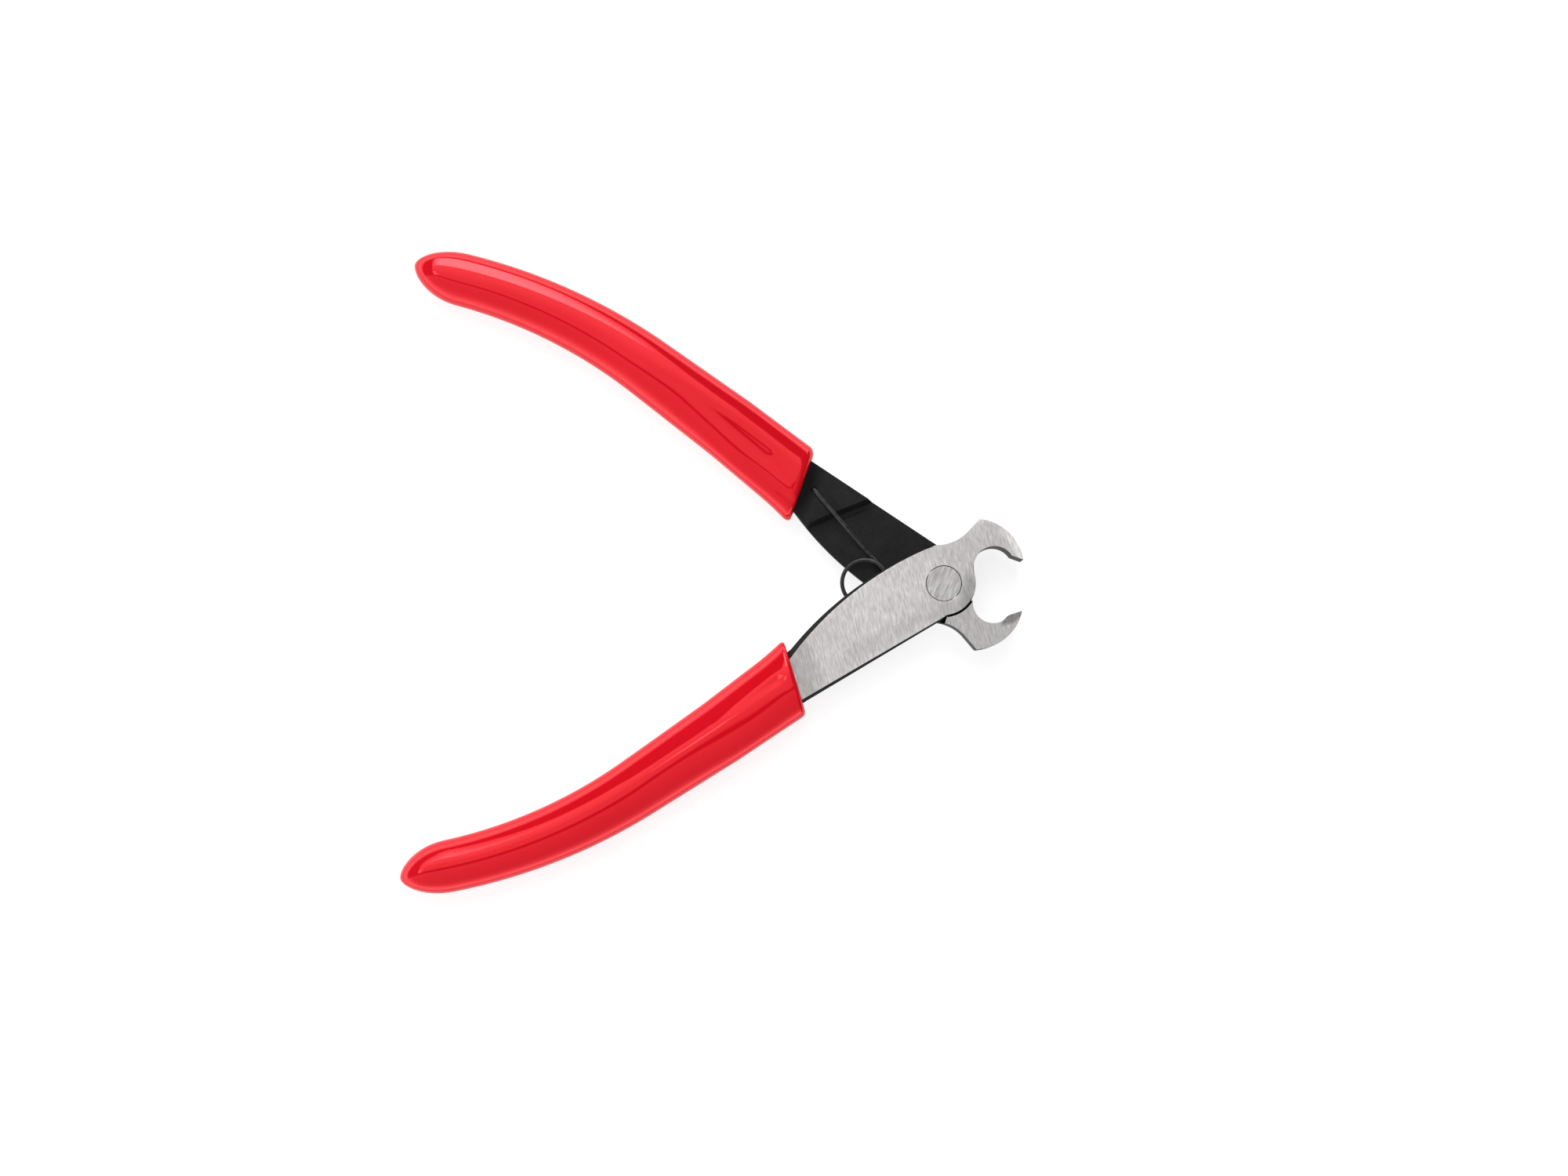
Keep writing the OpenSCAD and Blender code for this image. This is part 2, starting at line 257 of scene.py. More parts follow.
# A strip light at the far side of the bright box, which fades away from its middle along X
STRIP_SIDE = [(0.708, 0.0), (0.722, 4.6)]
STRIP_MIDDLE = -0.06
STRIP_REACH = 0.27
# The bright box is a rectangle with round corners, and it is dark round it
BOX_CENTRE = (-0.04, 0.35)
BOX_HALF = (0.32, 0.48)
BOX_POWER = 4.0
BOX_SOFT = 0.35
GAP_BRIGHT = 0.06
GAP_SIDE = [(0.500, 0.0), (0.504, 1.0)]
# From here towards the jaws it is dark past the dim box too
GAP_JAWS = 0.48
# A small lamp at the bright box's end towards the handles
LAMP_RUN = (-0.37, -0.25)
LAMP_SIDE = [(0.500, 0.0), (0.506, 1.0), (0.59, 1.0), (0.60, 0.0)]
LAMP_BRIGHT = 2.8
# Pale walls all round but for the jaws' end, where they stop softly. The far wall is low and
# the near one fades out softly upwards.
WALL_BRIGHT = 2.2
WALL_JAWS = 0.74
FAR_FULL = 0.30
FAR_TOP = 0.46
NEAR_FULL = 0.24
NEAR_TOP = 0.82
NEAR_SIDE = [(0.42, 1.0), (0.47, 0.0)]
FAR_SIDE = [(0.42, 0.0), (0.47, 1.0)]
SOFT_END = 0.08
# Ramps hold levels up to 1, so they are written over this and the light is scaled up by it
STUDIO_SCALE = 5.0


def scaled_down(stops):
    return [(side, level / STUDIO_SCALE) for side, level in stops]


def overhead_light(n, side, to_x, to_y):
    """The soft boxes, the strip and the lamp, over STUDIO_SCALE."""
    light = n.levels(side, scaled_down(STUDIO_BANDS))
    glow = n.maths("MULTIPLY", n.fade(to_x, *NEAR_GLOW_RUN), n.levels(side, NEAR_GLOW_SIDE))
    light = n.maths("MULTIPLY", light, n.between(glow, 1.0, NEAR_GLOW))

    off = n.maths("DIVIDE", n.maths("SUBTRACT", to_x, STRIP_MIDDLE), STRIP_REACH)
    share = n.maths("SUBTRACT", 1.0, n.maths("MULTIPLY", off, off), clamped=True)
    light = n.maths("MULTIPLY_ADD", n.levels(side, scaled_down(STRIP_SIDE)), share, light)

    corner = 0.0
    for place, centre, half in zip((to_x, to_y), BOX_CENTRE, BOX_HALF):
        off = n.maths("DIVIDE", n.maths("SUBTRACT", place, centre), half)
        corner = n.maths("ADD", n.maths("POWER", n.maths("ABSOLUTE", off), BOX_POWER), corner)
    outside = n.fade(corner, 1.0, 1 + BOX_SOFT)
    at_jaws = n.fade(to_x, GAP_JAWS, GAP_JAWS + SOFT_END)
    gap = n.maths("MULTIPLY", outside, n.maths("MAXIMUM", n.levels(side, GAP_SIDE), at_jaws))
    light = n.mix(gap, light, grey(GAP_BRIGHT / STUDIO_SCALE))

    after = n.maths("GREATER_THAN", to_x, LAMP_RUN[0])
    before = n.maths("LESS_THAN", to_x, LAMP_RUN[1])
    lamp = n.maths("MULTIPLY", n.maths("MULTIPLY", after, before), n.levels(side, LAMP_SIDE))
    return n.mix(lamp, light, grey(LAMP_BRIGHT / STUDIO_SCALE))


def wall_share(n, side, to_x, up):
    """1 where a direction meets a wall and 0 where it passes over the walls."""
    far = n.maths("MULTIPLY", n.fade(up, FAR_TOP, FAR_FULL), n.levels(side, FAR_SIDE))
    near = n.fade(up, NEAR_TOP, NEAR_FULL)
    near = n.maths("MULTIPLY", n.maths("MULTIPLY", near, near), n.levels(side, NEAR_SIDE))
    wall = n.maths("MAXIMUM", far, near)
    return n.maths("MULTIPLY", wall, n.fade(to_x, WALL_JAWS, WALL_JAWS - SOFT_END))


def add_studio():
    """Soft light from all round. The camera sees plain white where nothing stands."""
    scene = bpy.context.scene
    scene.view_settings.view_transform = "Standard"
    world = bpy.data.worlds.new("studio")
    scene.world = world
    world.use_nodes = True
    n = Nodes(world.node_tree)
    direction = n.add("ShaderNodeTexCoord").outputs["Generated"]
    parts = n.add("ShaderNodeSeparateXYZ", {0: direction})
    to_x, to_y, up = (parts.outputs[axis] for axis in "XYZ")
    side = n.maths("MULTIPLY_ADD", n.dot(direction, (*STUDIO_ACROSS, 0)), 0.5, 0.5)
    light = overhead_light(n, side, to_x, to_y)
    light = n.mix(wall_share(n, side, to_x, up), light, grey(WALL_BRIGHT / STUDIO_SCALE))
    studio = n.add("ShaderNodeBackground", {"Color": light, "Strength": STUDIO_SCALE})
    white = n.add("ShaderNodeBackground", {"Color": grey(1.0), "Strength": 1.0})
    seen = n.add("ShaderNodeLightPath").outputs["Is Camera Ray"]
    both = n.add("ShaderNodeMixShader", {0: seen, 1: studio.outputs[0], 2: white.outputs[0]})
    n.add("ShaderNodeOutputWorld", {0: both.outputs[0]})


# The floor takes the tool's shadow with its own grey, and what lifts it to white is seen only
# by the camera and in reflections, so that it sends no light up at the tool
FLOOR_GREY = 0.36
FLOOR_LIFT = 0.76
FLOOR_REACH = 3000.0
FLOOR_GAP = 0.1


def floor_material():
    material, n = new_material("floor_white")
    matt = n.add("ShaderNodeBsdfDiffuse", {"Color": grey(FLOOR_GREY)})
    path = n.add("ShaderNodeLightPath").outputs
    seen = n.maths("MAXIMUM", path["Is Camera Ray"], path["Is Glossy Ray"])
    lift = n.maths("MULTIPLY", seen, FLOOR_LIFT)
    glow = n.add("ShaderNodeEmission", {"Color": grey(1.0), "Strength": lift})
    total = n.add("ShaderNodeAddShader", {0: matt.outputs[0], 1: glow.outputs[0]})
    n.add("ShaderNodeOutputMaterial", {0: total.outputs[0]})
    return material


def add_floor():
    """A wide pale floor just under the tool."""
    reach = FLOOR_REACH * MM
    under = cad_box[0].z - FLOOR_GAP * MM
    mesh = bpy.data.meshes.new("floor")
    corners = [(x * reach, y * reach, under) for x, y in ((-1, -1), (1, -1), (1, 1), (-1, 1))]
    mesh.from_pydata(corners, [], [(0, 1, 2, 3)])
    mesh.materials.append(floor_material())
    floor = bpy.data.objects.new("floor", mesh)
    bpy.context.scene.collection.objects.link(floor)


# A large soft lamp above the tool, which lights its colours and isn't reflected in the gloss
FILL_PLACE = (-100.0, 250.0, 1000.0)
FILL_SIZE = 1000.0
FILL_WATTS = 3.4


def add_fill_lamp():
    lamp = bpy.data.lights.new("fill", "AREA")
    lamp.size = FILL_SIZE * MM
    lamp.energy = FILL_WATTS
    fill = bpy.data.objects.new("fill", lamp)
    bpy.context.scene.collection.objects.link(fill)
    fill.location = Vector(FILL_PLACE) * MM
    fill.rotation_euler = (-fill.location).to_track_quat("-Z", "Y").to_euler()
    fill.visible_glossy = False


# Materials


def new_material(name):
    material = bpy.data.materials.new(name)
    material.use_nodes = True
    return material, Nodes(material.node_tree)


def add_surface(n, colour, roughness, height, strength, depth, metallic=0.0, specular=0.5):
    """The material's shader and its output. depth is the depth of the bump in millimetres."""
    bump = n.add("ShaderNodeBump", {"Strength": strength, "Distance": depth * MM, "Height": height})
    inputs = {
        "Base Color": colour,
        "Roughness": roughness,
        "Normal": bump.outputs[0],
        "Metallic": metallic,
        "Specular IOR Level": specular,
    }
    shader = n.add("ShaderNodeBsdfPrincipled", inputs)
    n.add("ShaderNodeOutputMaterial", {0: shader.outputs[0]})


def surface_place(n):
    return n.add("ShaderNodeTexCoord").outputs["Object"]


def streaks(n, angle, across, along, offset=(0, 0, 0)):
    """Noise drawn out along a brush direction. across and along are grains per millimetre."""
    inputs = {
        "Vector": surface_place(n),
        "Location": [c * MM for c in offset],
        "Rotation": (0, 0, math.radians(-angle)),
    }
    turned = n.add("ShaderNodeMapping", inputs).outputs[0]
    grains = (along / MM, across / MM, across / MM)
    drawn = n.add("ShaderNodeMapping", {"Vector": turned, "Scale": grains}).outputs[0]
    inputs = {"Vector": drawn, "Scale": 1.0, "Detail": 3.0, "Roughness": 0.6}
    return n.add("ShaderNodeTexNoise", inputs).outputs[0]


def clouds(n, size, detail=2.0):
    """Soft blotches of a size in millimetres."""
    inputs = {"Vector": surface_place(n), "Scale": 1 / (size * MM), "Detail": detail}
    return n.add("ShaderNodeTexNoise", inputs).outputs[0]


@dataclass
class Oval:
    """An oval of the plan, turned by an angle, whose edge is soft over a share of its size.

    tone is what it does to the colour there: a factor on ground steel, and on the black finish
    how deep the painted shade is, up to 1.
    """

    centre: tuple
    size: tuple
    tone: float
    turn: float = 0.0
    soft: float = 0.8


def oval_mask(n, oval):
    """1 in the oval and 0 round it, at any height."""
    inputs = {
        "Vector": surface_place(n),
        "Location": (oval.centre[0] * MM, oval.centre[1] * MM, 0),
        "Rotation": (0, 0, math.radians(oval.turn)),
        "Scale": (oval.size[0] * MM, oval.size[1] * MM, 1.0),
    }
    place = n.add("ShaderNodeMapping", inputs, vector_type="TEXTURE").outputs[0]
    reach = n.add("ShaderNodeVectorMath", {0: place}, operation="LENGTH").outputs["Value"]
    return n.fade(reach, 1 + oval.soft / 2, 1 - oval.soft / 2)


@dataclass
class Facet:
    """The part of the plan to the left of every stretch of a line, and the factor on its colour."""

    line: list
    tone: float
    soft: float


def facet_mask(n, facet):
    """1 in the facet and 0 round it, with an edge that is soft over some millimetres."""
    mask = 1.0
    for a, b in zip(facet.line, facet.line[1:]):
        run = Vector(b) - Vector(a)
        left = Vector((-run.y, run.x, 0)).normalized()
        edge = left.dot(Vector((*a, 0)))
        off = n.dot(surface_place(n), left)
        beside = n.fade(off, (edge - facet.soft / 2) * MM, (edge + facet.soft / 2) * MM)
        mask = n.maths("MINIMUM", mask, beside)
    return mask


# Brush lines in grains per millimetre across and along them. The broad ones run a little askew.
FINE_LINES = (3.3, 0.42)
BROAD_LINES = (1.7, 0.26)
BROAD_TURN = 5.0
BROAD_OFFSET = (10.0, 20.0, 0.0)
# Tones of the grinding from dark to light, at their places round the middle of the noise
GROUND_TONES = [
    (-0.15, (0.66, 0.635, 0.625)),
    (0.0, (0.91, 0.88, 0.87)),
    (0.13, (1.16, 1.14, 1.13)),
]
# The lines change the roughness by this, up and down
LINE_ROUGHNESS = 0.11


def ground_steel(name, angle, level, rough, line_size, contrast, tone_and_painted_light=()):
    """Ground steel with fine brush lines at an angle, blotches and a light drift of tone.

    The ovals and facets it is given draw parts of it darker or lighter; some of them are painted
    shade and painted highlight.
    """
    material, n = new_material(name)
    fine = streaks(n, angle, *(grains / line_size for grains in FINE_LINES))
    broad_grains = [grains / line_size for grains in BROAD_LINES]
    broad = streaks(n, angle + BROAD_TURN, *broad_grains, BROAD_OFFSET)
    lines = n.average(broad, fine, share=0.4)
    blotches = n.average(clouds(n, 9.0), clouds(n, 1.4, detail=3.0), share=0.6)
    tone = n.average(blotches, lines, share=0.22)
    stops = [(0.5 + off / contrast, [c * level for c in shade]) for off, shade in GROUND_TONES]
    colour = n.ramp(tone, stops)
    # Darker or lighter spots, some of them painted shade and painted highlight
    for spot in tone_and_painted_light:
        mask = oval_mask(n, spot) if isinstance(spot, Oval) else facet_mask(n, spot)
        colour = n.times(colour, n.between(mask, 1.0, spot.tone))
    roughness = n.between(fine, rough - LINE_ROUGHNESS, rough + LINE_ROUGHNESS)
    add_surface(n, colour, roughness, height=lines, strength=0.3, depth=0.03, metallic=0.8)
    return material


BLACK_TONES = [
    (0.35, (0.009, 0.009, 0.009)),
    (0.5, (0.013, 0.013, 0.0132)),
    (0.66, (0.019, 0.019, 0.0193)),
]
# The share of the colour that is left where the painted shade is darkest
PAINTED_SHADE_LEFT = 0.1
PAINTED_SHADE_SPOTS = [
    # Painted shade in the hollow of the jaws and in the narrow gap beside the boss
    Oval((13.0, 0.0), (8.5, 9.0), tone=1.0, soft=0.3),
    Oval((4.0, -6.2), (5.5, 1.6), tone=1.0, turn=33.0, soft=0.3),
    # Painted shade round the rim of the spring's hole
    Oval((-HOLE_X - 0.8, HOLE_Y - 0.1), (0.85, 0.8), tone=1.0),
    # A faint line of painted shade beside the step, and a painted shadow on the part next to the
    # upper grip's mouth
    Oval((-21.0, 16.85), (4.2, 0.3), tone=0.6, turn=23.3, soft=1.2),
    Oval((-34.0, 22.5), (9.0, 2.6), tone=1.0, turn=70.0, soft=1.0),
]
# Painted highlight: edges are lightened to this grey over this radius, and the mottle breaks it up
EDGE_HIGHLIGHT_R = 0.35
EDGE_HIGHLIGHT_GREY = 0.10
EDGE_HIGHLIGHT_SHARE = 1.2


def black_steel():
    """Forged steel with a matt black finish, faintly mottled, with a painted highlight along its
    edges and painted shade in some places.
    """
    material, n = new_material("black_oxide")
    mottle = n.average(clouds(n, 6.0, detail=4.0), clouds(n, 0.5, detail=3.0), share=0.6)
    colour = n.ramp(mottle, BLACK_TONES)
    normal = n.add("ShaderNodeNewGeometry").outputs["Normal"]
    eased = n.add("ShaderNodeBevel", {"Radius": EDGE_HIGHLIGHT_R * MM}, samples=4).outputs[0]
    turn = n.maths("SUBTRACT", 1.0, n.dot(normal, eased), clamped=True)
    # Painted highlight along the edges, where the normal turns from the rounded one
    edge_highlight = n.maths("MULTIPLY", n.maths("MULTIPLY", turn, mottle), EDGE_HIGHLIGHT_SHARE, clamped=True)
    colour = n.mix(edge_highlight, colour, grey(EDGE_HIGHLIGHT_GREY))
    # Painted shade: the colour is darkened in the spots listed above
    painted_shade = 0.0
    for spot in PAINTED_SHADE_SPOTS:
        painted_shade = n.maths("MAXIMUM", n.maths("MULTIPLY", oval_mask(n, spot), spot.tone), painted_shade)
    colour = n.times(colour, n.between(painted_shade, 1.0, PAINTED_SHADE_LEFT))
    roughness = n.between(mottle, 0.38, 0.68)
    grain = clouds(n, 0.35, detail=3.0)
    add_surface(n, colour, roughness, height=grain, strength=0.35, depth=0.04, specular=0.12)
    return material


WIRE_TONES = [(0.35, (0.018, 0.018, 0.019)), (0.65, (0.042, 0.042, 0.043))]


def wire_steel():
    """Oil-black spring wire, faintly mottled."""
    material, n = new_material("spring_black")
    mottle = clouds(n, 1.2, detail=3.0)
    colour = n.ramp(mottle, WIRE_TONES)
    roughness = n.between(mottle, 0.27, 0.47)
    grain = clouds(n, 0.2)
    add_surface(n, colour, roughness, height=grain, strength=0.15, depth=0.02, metallic=0.35)
    return material


VINYL_TONES = [(0.3, (0.80, 0.005, 0.015)), (0.7, (0.83, 0.007, 0.019))]
# The height of the orange peel, where the waves' height is 1
PEEL = 0.01


def red_vinyl():
    """Glossy dipped vinyl with slow waves from the dip and a faint orange peel on them."""
    material, n = new_material("dip_red")
    colour = n.ramp(clouds(n, 30.0), VINYL_TONES)
    roughness = n.between(clouds(n, 3.0, detail=3.0), 0.025, 0.065)
    height = n.maths("MULTIPLY_ADD", clouds(n, 1.1), PEEL, clouds(n, 22.0, detail=1.0))
    add_surface(n, colour, roughness, height, strength=0.3, depth=0.2, metallic=0.28)
    return material


# Pieces

SHARP_ANGLE = 30.0


def add_piece(name, bm, materials, body, nodes, even=False):
    """Makes an object of the mesh, smooth but for its sharp edges, that rides on a body.

    even keeps large flat faces flat where small faces round their edges.
    """
    mesh = bpy.data.meshes.new(name)
    bm.to_mesh(mesh)
    bm.free()
    for material in materials:
        mesh.materials.append(material)
    piece = bpy.data.objects.new(name, mesh)
    bpy.context.scene.collection.objects.link(piece)
    mesh.shade_smooth()
    mesh.set_sharp_from_angle(angle=math.radians(SHARP_ANGLE))
    if even:
        weighted = piece.modifiers.new("even_normals", "WEIGHTED_NORMAL")
        weighted.keep_sharp = True
        weighted.weight = 100
    if body:
        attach(piece, body)
    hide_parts(*nodes)
    return piece


# The forgings' edges are eased by this, but not inside the lap joint, where none shows
EDGE_ROUNDING = 0.12
EASED_ANGLE = 25.0
EASED_LEN = 0.3
JOINT_R = 8.3
JOINT_SKIN = 1.0
# The gap between a boss and the other half's jaw, whose edges aren't ground bright
SEAM_R = 7.825
SEAM_W = 0.35
SEAM_MIDDLE = (4.2, 6.8)
SEAM_REACH = 5.0
# A level face this close to one of the head's outer faces is ground
GROUND_REACH = 0.02
# The upward part of a face's direction: a level one has more than the first, a leaning one less
# than the second
LEVEL = 0.999
LEANING = 0.99
# Points this close become one, and so do faces whose angle in radians is under this
WELD = 0.002
IN_LINE = 0.005
# Material slots of a forging
GROUND = 0
BLACK = 1


def in_joint(vert):
    x, y, z = (c / MM for c in vert.co)
    return math.hypot(x, y) < JOINT_R and JOINT_SKIN < z < HEAD_T - JOINT_SKIN


def is_eased(edge):
    sharp = edge.calc_face_angle(0) > math.radians(EASED_ANGLE)
    return sharp and edge.calc_length() > EASED_LEN * MM and not any(in_joint(v) for v in edge.verts)


def at_seam(face):
    """True on the eased edges and the sides of the gap beside a boss."""
    x, y, _ = (c / MM for c in face.calc_center_median())
    beside = abs(math.hypot(x, y) - SEAM_R) < SEAM_W
    near = math.hypot(x - SEAM_MIDDLE[0], abs(y) - SEAM_MIDDLE[1]) < SEAM_REACH
    return beside and near and abs(face.normal.z) < LEANING


def on_ground_face(face):
    z = face.calc_center_median().z / MM
    return min(abs(z), abs(z - HEAD_T)) < GROUND_REACH and abs(face.normal.z) > LEVEL


def add_forging(name, node, body, materials):
    """One half: the solid's own mesh with its edges eased, ground faces apart from black ones."""
    bm = bmesh.new()
    bm.from_mesh(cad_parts[node].data)
    bmesh.ops.remove_doubles(bm, verts=bm.verts, dist=WELD * MM)
    bmesh.ops.dissolve_limit(bm, angle_limit=IN_LINE, verts=bm.verts, edges=bm.edges)
    for face in bm.faces:
        face.material_index = GROUND if on_ground_face(face) else BLACK
    bmesh.ops.bevel(
        bm,
        geom=[edge for edge in bm.edges if is_eased(edge)],
        offset=EDGE_ROUNDING * MM,
        segments=2,
        profile=0.6,
        affect="EDGES",
        clamp_overlap=False,
        material=-1,
    )
    for face in bm.faces:
        if at_seam(face):
            face.material_index = BLACK
    add_piece(name, bm, materials, body, [node], even=True)


# A fine dark line shows round the rivet, from a little play and an eased edge
RIVET_PLAY = 0.14
RIVET_CHAMFER = 0.08
RIVET_SIDES = 96


def lathe(bm, profile, sides):
    """Turns a profile of (radius, height) points round the Z axis. It starts and ends on the axis."""
    rings = []
    for r, z in profile:
        turns = [360 * i / sides for i in range(sides)] if r else [0]
        rings.append([bm.verts.new((r * cosd(a) * MM, r * sind(a) * MM, z * MM)) for a in turns])
    for low, high in zip(rings, rings[1:]):
        for i in range(sides):
            k = i + 1
            corners = [low[i % len(low)], low[k % len(low)], high[k % len(high)], high[i % len(high)]]
            bm.faces.new(list(dict.fromkeys(corners)))


def add_rivet(material):
    """The rivet, with its ends ground flush."""
    r = RIVET_R - RIVET_PLAY
    c = RIVET_CHAMFER
    profile = [(0, 0), (r - c, 0), (r, c), (r, HEAD_T - c), (r - c, HEAD_T), (0, HEAD_T)]
    bm = bmesh.new()
    lathe(bm, profile, RIVET_SIDES)
    add_piece("rivet", bm, [material], "front_lever", ["pivot_rivet"])


def skin(bm, rings):
    """Joins a row of rings of points, in millimetres, into a tube with closed ends."""
    verts = [[bm.verts.new(Vector(p) * MM) for p in ring] for ring in rings]
    for low, high in zip(verts, verts[1:]):
        for i in range(len(low)):
            k = (i + 1) % len(low)
            bm.faces.new((low[i], low[k], high[k], high[i]))
    bm.faces.new(list(reversed(verts[0])))
    bm.faces.new(verts[-1])
    bmesh.ops.recalc_face_normals(bm, faces=bm.faces)


def turned_over(points):
    """Carries points of the front half's side over to the rear half's."""
    return [(x, -y, HEAD_T - z) for x, y, z in points]


# The grips

# How squarish the section is on the inner, rounder side and on the outer, flatter side
SECTION_POWERS = (2.0, 2.45)
GRIP_SIDES = 96
GRIP_STEPS = 100
# The dip's middle goes over to the tool's middle more gently than the steel inside it
SLANT_START = 38.0
SLANT_END = 92.0
# The inner corner of the mouth flares out a little
FLARE = 0.6
FLARE_RUN = 8.0
# Near the mouth the dip lies flatter on the steel and leans a little to its inner side
PRESS_MIDDLE = 57.0
PRESS_REACH = 13.0
PRESS_LEAN = 1.0
# Turns of the rings round the lip, and round the end, where they get closer to its point. The
# end is round in side view over a shorter length.
LIP_TURNS = (0, 15, 30, 45, 60, 75)
NOSE_TURNS = (*range(6, 60, 6), *range(60, 88, 3), 88.5)
NOSE_ROUND = 6.0


@dataclass
class Groove:
    """A shallow groove from a place (s, t) to another, where it has faded out."""

    start: tuple
    end: tuple
    half_w: float
    depth: float


@dataclass
class Dip:
    """What differs between the two grips: where the mouth is, its lip, and its shape near it.

    lip is how far the edge rounds inwards and along the handle. pressed is the inner and the
    outer power of the section where it lies flattest.
    """

    start: float
    lip: tuple
    pressed: tuple
    grooves: list


def handle_point(s, t):
    """A point along the front half's handle: s from the pivot, t towards the inner side."""
    a = HANDLE_ANGLE - math.degrees(max(0.0, s - BEND_START) / BEND_R)
    straight = min(s, BEND_START)
    x = -straight * cosd(HANDLE_ANGLE) - BEND_R * (sind(HANDLE_ANGLE) - sind(a)) - t * sind(a)
    y = -straight * sind(HANDLE_ANGLE) - BEND_R * (cosd(a) - cosd(HANDLE_ANGLE)) + t * cosd(a)
    return x, y


def squared(c, power):
    """A cosine or sine taken from the circle to a squarer round of this power."""
    return math.copysign(abs(c) ** (2 / power), c)


def grip_mid_z(s):
    """The height of the dip's middle: half the handle's at the mouth, then the tool's."""
    mouth_z = (LAP_Z - RAISE + HEAD_T) / 2
    share = clamp((s - SLANT_START) / (SLANT_END - SLANT_START))
    share = share * share * (3 - 2 * share)
    return mouth_z + (LAP_Z - mouth_z) * share


def grip_size(dip, s):
    """Half the grip's width and thickness at a distance along the handle."""
    left = clamp(1 - (s - dip.start) / (HANDLE_LEN - dip.start))
    w = GRIP_END_HALF_W + (GRIP_HALF_W - GRIP_END_HALF_W) * left**WIDTH_POWER
    t = GRIP_END_HALF_T + (GRIP_HALF_T - GRIP_END_HALF_T) * left
    return w, t


def groove_depth(dip, s, t):
    place = Vector((s, t))
    depth = 0.0
    for groove in dip.grooves:
        start, end = Vector(groove.start), Vector(groove.end)
        share = clamp((place - start).dot(end - start) / (end - start).length_squared)
        off = (place - start.lerp(end, share)).length / groove.half_w
        depth = max(depth, groove.depth * (1 - share) * math.exp(-off * off))
    return depth


def grip_ring(dip, s, half_w, half_t, shift=0.0):
    """The points of one section, from its inner side round by its top."""
    fade = max(0.0, 1 - (s - dip.start) / SKEW_RUN)
    flare = FLARE * max(0.0, 1 - (s - dip.start) / FLARE_RUN) ** 2
    press = math.exp(-(((s - PRESS_MIDDLE) / PRESS_REACH) ** 2))
    lean = math.tan(math.radians(PRESS_LEAN)) * press
    ring = []
    for i in range(GRIP_SIDES):
        turn = 360 * i / GRIP_SIDES
        side = 0 if cosd(turn) > 0 else 1
        power = SECTION_POWERS[side]
        power += (dip.pressed[side] - power) * press
        across = half_w * squared(cosd(turn), power) + MOUTH_SHIFT * fade + shift
        across += flare * max(0.0, cosd(turn))
        along = s - across * math.tan(math.radians(MOUTH_SKEW * fade))
        high = half_t - groove_depth(dip, along, across)
        z = grip_mid_z(along) + high * squared(sind(turn), power) - lean * across
        ring.append((*handle_point(along, across), z))
    return ring


def grip_rings(dip):
    """Rings from the lip at the mouth to the pointed end."""
    lip_in, lip_along = dip.lip
    rings = []
    for turn in LIP_TURNS:
        s = dip.start + lip_along * (1 - cosd(turn))
        inset = lip_in * (1 - sind(turn))
        w, t = grip_size(dip, s)
        rings.append(grip_ring(dip, s, w - inset, t - inset))
    body_start = dip.start + lip_along
    body_end = HANDLE_LEN - GRIP_CAP
    for i in range(GRIP_STEPS + 1):
        s = body_start + (body_end - body_start) * i / GRIP_STEPS
        rings.append(grip_ring(dip, s, *grip_size(dip, s)))
    for turn in NOSE_TURNS:
        s = body_end + GRIP_CAP * sind(turn)
        w, t = grip_size(dip, s)
        high = t * math.sqrt(1 - clamp((s - HANDLE_LEN + NOSE_ROUND) / NOSE_ROUND) ** 2)
        shift = -NOSE_SHIFT * (1 - cosd(turn))
        rings.append(grip_ring(dip, s, w * cosd(turn) ** NOSE_POWER, high, shift))
    return rings


def add_grip(name, rings, body, node, material):
    bm = bmesh.new()
    skin(bm, rings)
    add_piece(name, bm, [material], body, [node])


# The spring: a coil, and a leg to a hole in each handle
WIRE_SIDES = 20
LEG_STEPS = 40
COIL_STEPS = 120
BEND_TURNS = (75, 60, 45, 30, 15, 0)
# A run whose level part is shorter than this stands upright
UPRIGHT = 0.2

to_hole = (COIL_REACH - HOLE_X, HOLE_Y)
hole_far = math.hypot(*to_hole)
leave_angle = math.degrees(math.atan2(to_hole[1], to_hole[0]) - math.acos(COIL_R / hole_far))
leg_len = math.sqrt(hole_far**2 - COIL_R**2)
wound = 360 * COIL_TURNS + 2 * leave_angle
coil_low = LAP_Z - COIL_PITCH * wound / 720
leg_high = LAP_Z + RAISE + WIRE_D / 2 + LEG_CLEAR


def leg_point(along, z):
    """A point of the rear leg, which leaves the coil in line with it and bows a little."""
    bow = COIL_R - LEG_BOW * sind(180 * along / leg_len)
    x = -COIL_REACH + bow * cosd(leave_angle) - along * sind(leave_angle)
    y = bow * sind(leave_angle) + along * cosd(leave_angle)
    return x, y, z


def leg_rise(along):
    """The height of the rear leg, which climbs from the coil to the handle's face."""
    share = clamp((along - LEG_FLAT) / (LEG_UP - LEG_FLAT))
    return coil_low + (leg_high - coil_low) * (1 - cosd(180 * share)) / 2


def rear_leg_path():
    bend_at = leg_len - WIRE_BEND
    path = []
    for i in range(LEG_STEPS + 1):
        along = bend_at * i / LEG_STEPS
        path.append(leg_point(along, leg_rise(along)))
    for turn in BEND_TURNS:
        along = bend_at + WIRE_BEND * cosd(turn)
        path.append(leg_point(along, leg_high - WIRE_BEND * (1 - sind(turn))))
    path.append(leg_point(leg_len, LAP_Z + RAISE - END_DEPTH))
    return path


def coil_path():
    path = []
    for i in range(COIL_STEPS + 1):
        turned = wound * i / COIL_STEPS
        a = leave_angle - turned
        z = coil_low + COIL_PITCH * turned / 360
        path.append((-COIL_REACH + COIL_R * cosd(a), COIL_R * sind(a), z))
    return path


